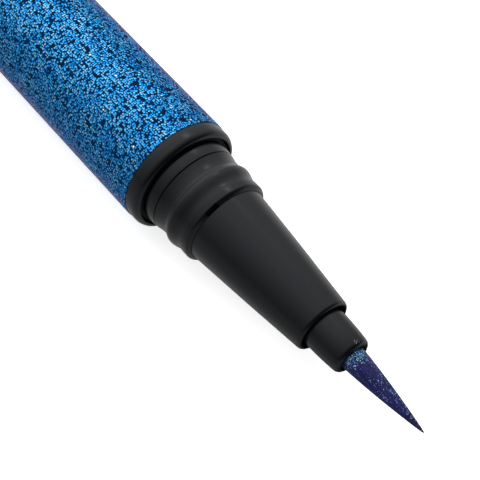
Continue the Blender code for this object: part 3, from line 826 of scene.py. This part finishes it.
floor_paint, tree, shader = new_material("floor_white")
feed(tree, shader, {
    "Base Color": floor_white, "Roughness": 0.9, "Specular IOR Level": 0.0,
    "Emission Color": plain_white,
    "Emission Strength": maths(tree, 'MULTIPLY', background_ray(tree), floor_glow)})
bm = bmesh.new()
bmesh.ops.create_grid(bm, x_segments=1, y_segments=1, size=floor_half)
staged("floor", bm, floor_paint)

# Room.
# Plain white all round. It fills the shadows softly, and shows as plain white where it is seen
# directly, in gloss or through clear plastic.
room_fill = 0.5
room_seen = 1.0
room = bpy.data.worlds.new("studio")
room.use_nodes = True
tree = room.node_tree
feed(tree, tree.nodes["Background"].inputs, {
    "Color": plain_white,
    "Strength": graded(tree, background_ray(tree), (0.0, 1.0, room_fill, room_seen))})
bpy.context.scene.world = room

# Lamps.
# A wide soft light above and behind the pen gives the colours. A small weak one puts the soft
# glints on collar and neck.
lamp_aim = Vector((10.0, 0.0, 0.0)) * mm


def soft_light(name, place, size, power):
    """A square area lamp that faces the pen's neck."""
    data = bpy.data.lights.new(name, 'AREA')
    data.shape = 'SQUARE'
    data.size = size
    data.energy = power
    lamp = bpy.data.objects.new(name, data)
    bpy.context.scene.collection.objects.link(lamp)
    lamp.location = place
    lamp.rotation_euler = (lamp_aim - Vector(place)).to_track_quat('-Z', 'Y').to_euler()
    return lamp


overhead = soft_light("overhead_light", place=(-0.3, 0.1, 0.74), size=0.9, power=4.0)
overhead.visible_glossy = False
soft_light("window_light", place=(-0.227, 0.343, 0.431), size=0.08, power=0.085)

# Scrim.
# A half dome of graded cloth over the pen, which shows only in reflections. It is darkest ahead
# of the pen and darker on its right, and gives the black pieces a dark flank and a light rim.
scrim_radius = 0.9
scrim_foot = 0.002
scrim_grades = (("Y", (-0.88, 0.03, 0.6, 1.35)), ("Z", (0.0, 0.7, 0.45, 1.0)),
                ("X", (-0.2, 0.6, 1.0, 0.02)), ("X", (-0.9, -0.4, 1.7, 1.0)))
no_color = (0.0, 0.0, 0.0, 1.0)


def reflected_sheet(name, bm, glow):
    """Stage a glowing sheet seen only in reflections, its glow worked out from its place."""
    material, tree, shader = new_material(name)
    place = add_node(tree, 'ShaderNodeTexCoord').outputs["Object"]
    feed(tree, shader, {
        "Base Color": no_color, "Specular IOR Level": 0.0, "Emission Color": plain_white,
        "Emission Strength": glow(tree, place)})
    cloth = staged(name, bm, material)
    for ray in ("camera", "diffuse", "transmission", "shadow"):
        setattr(cloth, "visible_" + ray, False)


def scrim_glow(tree, place):
    """The scrim's grades along X, Y and Z, multiplied."""
    away = vector_maths(tree, 'NORMALIZE', place)
    parts = add_node(tree, 'ShaderNodeSeparateXYZ', {0: away}).outputs
    glow = 1.0
    for axis, ramp in scrim_grades:
        glow = maths(tree, 'MULTIPLY', glow, graded(tree, parts[axis], ramp))
    return glow


bm = bmesh.new()
bmesh.ops.create_uvsphere(bm, u_segments=48, v_segments=24, radius=scrim_radius)
bmesh.ops.bisect_plane(bm, geom=bm.verts[:] + bm.edges[:] + bm.faces[:],
                       plane_co=(0.0, 0.0, scrim_foot), plane_no=(0.0, 0.0, 1.0),
                       clear_inner=True)
reflected_sheet("graded_scrim", bm, scrim_glow)

# Reflected floor shade.
# A glowing sheet just above the floor, which shows only in reflections. Its glow is painted
# light and shade: dark under the pen as a painted shadow, lighter beside it, most on its left.
shade_sheet_height = 0.1 * mm
painted_floor_light_left = (5.5 * mm, 10.0 * mm, 0.04, 0.82)
painted_floor_light_right = (-1.0 * mm, -5.0 * mm, 0.0, 0.4)


def painted_floor_shade_glow(tree, place):
    """The sheet's painted shade and light: grades to the left and right of the pen, added."""
    across = add_node(tree, 'ShaderNodeSeparateXYZ', {0: place}).outputs["Y"]
    return maths(tree, 'ADD', graded(tree, across, painted_floor_light_left), graded(tree, across, painted_floor_light_right))


bm = bmesh.new()
bmesh.ops.create_grid(bm, x_segments=1, y_segments=1, size=scrim_radius)
bmesh.ops.translate(bm, vec=(0.0, 0.0, shade_sheet_height), verts=bm.verts)
# This sheet's glow paints the pen's shadow on the floor, and the light beside it.
reflected_sheet("painted_floor_shade", bm, painted_floor_shade_glow)

# Camera.
# It stands ahead of the brush and above it, on the pen's right, and looks back along the pen
# through a long lens.
tip = Vector((brush_tip, 0.0, axis_height))
camera_place = tip + Vector((22.88, -36.33, 96.89)) * mm
camera_look = Vector((-0.39495, 0.32202, -0.86042))
camera_data = bpy.data.cameras.new("camera")
camera_data.lens = 105
camera_data.sensor_width = 36
camera_data.clip_start = 5 * mm
camera = bpy.data.objects.new("camera", camera_data)
bpy.context.scene.collection.objects.link(camera)
camera.location = camera_place
camera.rotation_euler = camera_look.to_track_quat('-Z', 'Y').to_euler()
bpy.context.scene.camera = camera
bpy.context.scene.view_settings.view_transform = 'Standard'
